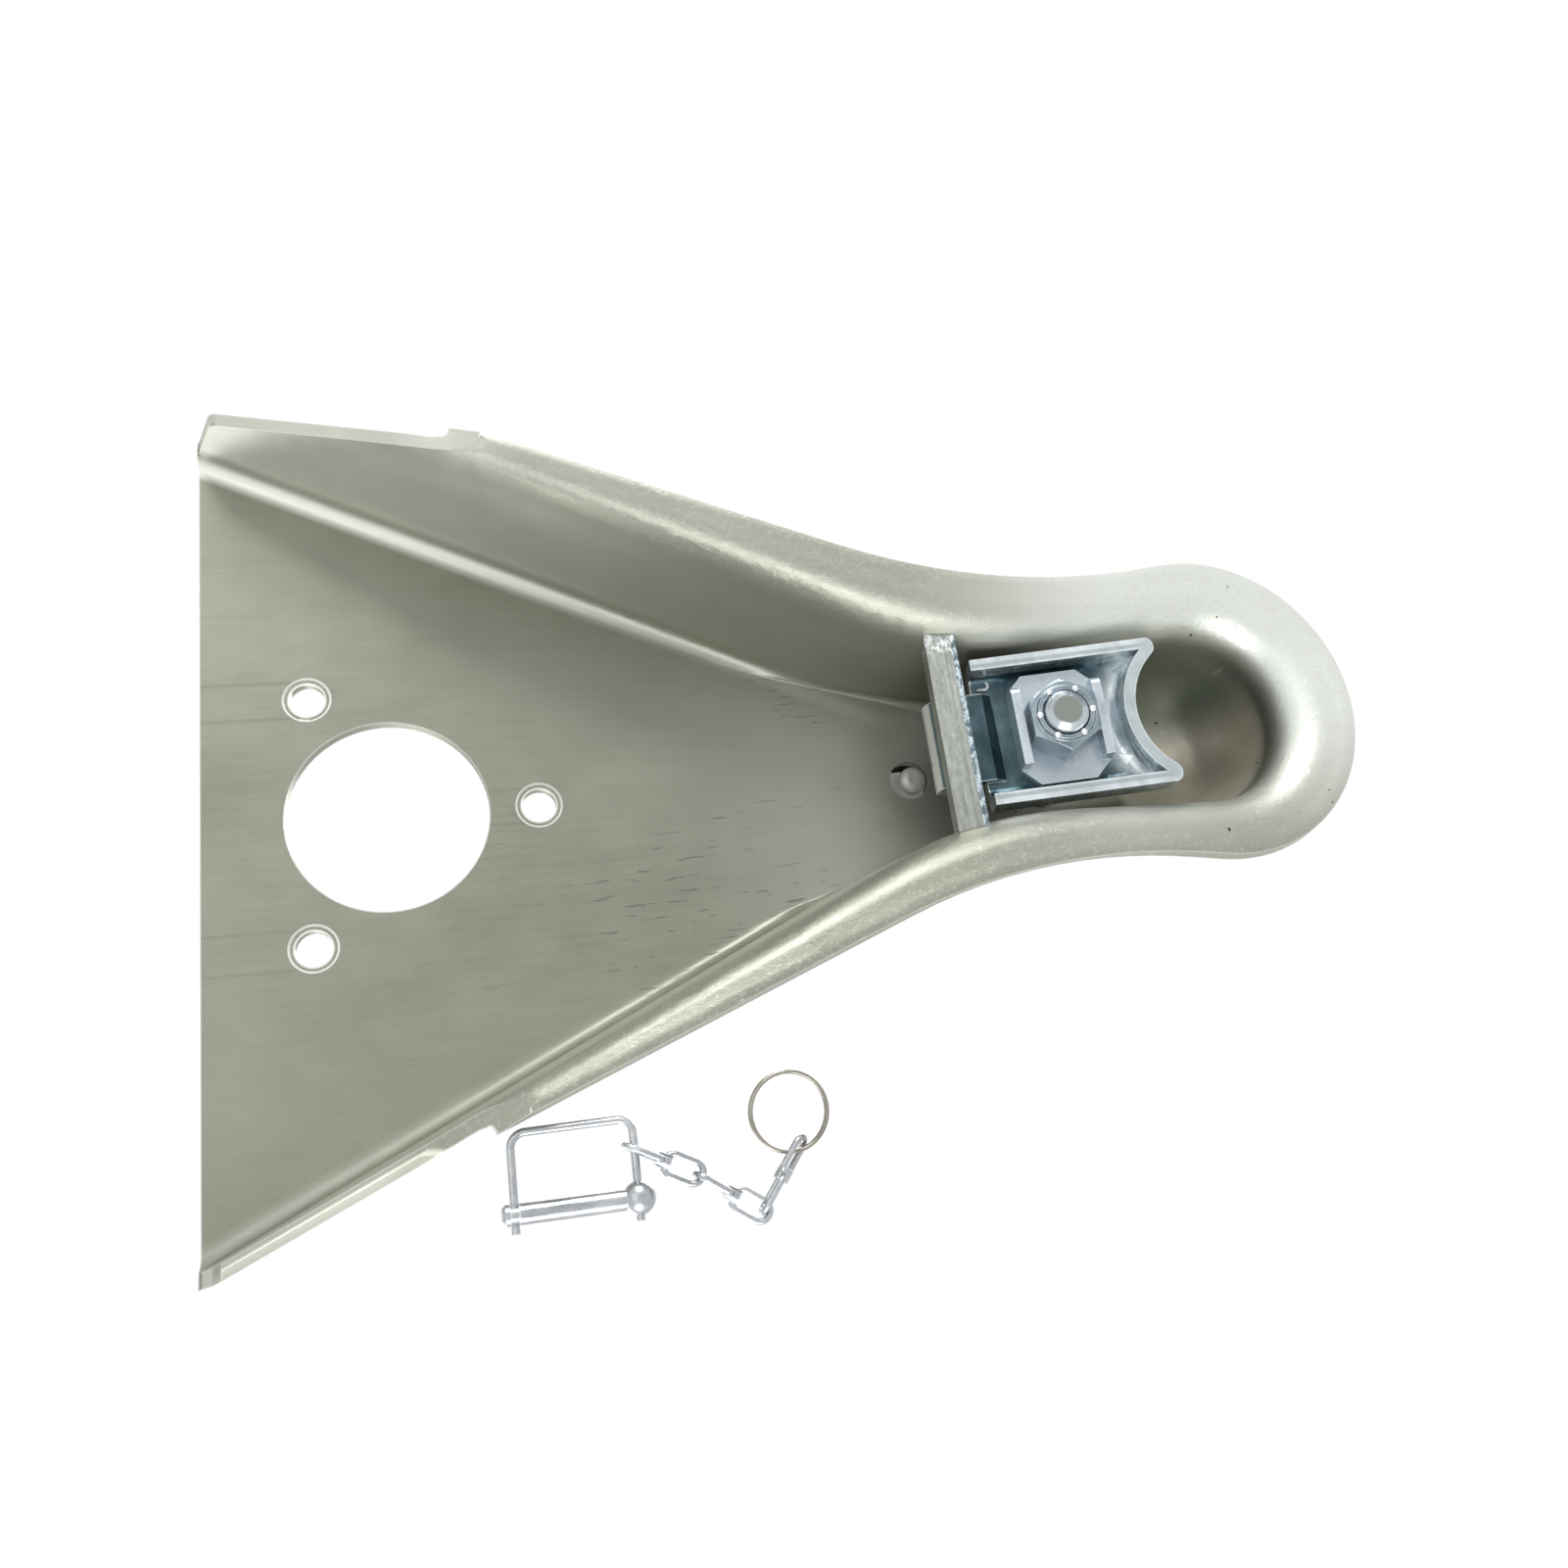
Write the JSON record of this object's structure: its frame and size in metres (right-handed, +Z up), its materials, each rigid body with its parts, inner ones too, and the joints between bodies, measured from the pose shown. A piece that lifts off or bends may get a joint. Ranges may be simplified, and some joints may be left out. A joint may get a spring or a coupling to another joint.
{
  "type": "trailer coupling head",
  "caption": "Pressed A-frame trailer coupling head with a ball socket, rocking ball clamp, hand latch and chained safety pin.",
  "frame": {"origin": "centre of the tow ball in its socket", "axes": "+X towards the nose, +Y to the left flange seen from above with the nose ahead, +Z up, out of the plate's top"},
  "size_m": [0.3332, 0.2474, 0.096],
  "materials": {
    "housing_zinc": "satin zinc plate with fine lengthwise grain",
    "bar_steel": "dull zinc plate with drawn streaks",
    "clamp_zinc": "zinc plate, bright on its rounded edges",
    "saddle_steel": "pale zinc plate with sheared edges",
    "fastener_zinc": "bright zinc plate",
    "latch_zinc": "satin zinc plate",
    "spring_steel": "drawn spring wire, slightly brown",
    "pin_zinc": "bright zinc plate"
  },
  "bodies": {
    "root": {"housing": "housing_zinc", "cross_bar": "bar_steel", "wear_plate": "latch_zinc", "spring_seat": "fastener_zinc", "clamp_spring": "spring_steel", "safety_pin": "pin_zinc"},
    "bolt": {"eye_bolt": "fastener_zinc", "lock_nut": "fastener_zinc", "saddle_washer": "saddle_steel"},
    "clamp": {"ball_clamp": "clamp_zinc"},
    "handle": {"latch_handle": "latch_zinc", "handle_pivot_pin": "fastener_zinc", "pivot_clip": "spring_steel", "trigger_pin": "fastener_zinc", "trigger_spring": "spring_steel"},
    "trigger": {"latch_trigger": "latch_zinc"},
    "bail": {"bail_wire": "pin_zinc"},
    "link_1": {"chain_link_1": "pin_zinc"},
    "link_2": {"chain_link_2": "pin_zinc"},
    "link_3": {"chain_link_3": "pin_zinc"},
    "ring": {"split_ring": "spring_steel"}
  },
  "joints": [
    {"name": "bolt_drop", "type": "slide", "parent": "root", "child": "bolt", "axis": [-0.2079, 0, -0.9781], "range_m": [0, 0.0129]},
    {"name": "clamp_swing", "type": "hinge", "parent": "root", "child": "clamp", "pos_m": [-0.0765, 0, -0.0142], "axis": [0, 1, 0], "range_deg": [0, 16], "deforming": ["clamp_spring"]},
    {"name": "handle_swing", "type": "hinge", "parent": "bolt", "child": "handle", "pos_m": [-0.02954, 0, 0.05474], "axis": [0, 1, 0], "range_deg": [0, 100]},
    {"name": "trigger_pull", "type": "hinge", "parent": "handle", "child": "trigger", "pos_m": [-0.05754, 0, 0.03874], "axis": [0, 1, 0], "range_deg": [0, 15], "stiffness_Nm_per_rad": 0.1, "springref_deg": -11.46, "deforming": ["trigger_spring"]},
    {"name": "bail_swing", "type": "hinge", "parent": "root", "child": "bail", "pos_m": [-0.1805, 0.11527, -0.0233], "axis": [0, 1, 0], "range_deg": [0, 120]},
    {"name": "link_1_swing", "type": "hinge", "parent": "root", "child": "link_1", "pos_m": [-0.1805, 0.10407, -0.0239], "axis": [0, 0, 1], "range_deg": [-10, 10]},
    {"name": "link_2_swing", "type": "hinge", "parent": "link_1", "child": "link_2", "pos_m": [-0.16646, 0.11153, -0.0239], "axis": [0, 0, 1], "range_deg": [-10, 10]},
    {"name": "link_3_swing", "type": "hinge", "parent": "link_2", "child": "link_3", "pos_m": [-0.15149, 0.1224, -0.0239], "axis": [0, 0, 1], "range_deg": [-10, 10]},
    {"name": "ring_swing", "type": "hinge", "parent": "link_3", "child": "ring", "pos_m": [-0.14134, 0.1094, -0.0239], "axis": [0, 0, 1], "range_deg": [-4, 4]}
  ],
  "couplings": [
    {"joint": "bolt_drop", "follows": "handle_swing", "m_per_rad": 0.0073603},
    {"joint": "clamp_swing", "follows": "handle_swing", "ratio": 0.16}
  ]
}
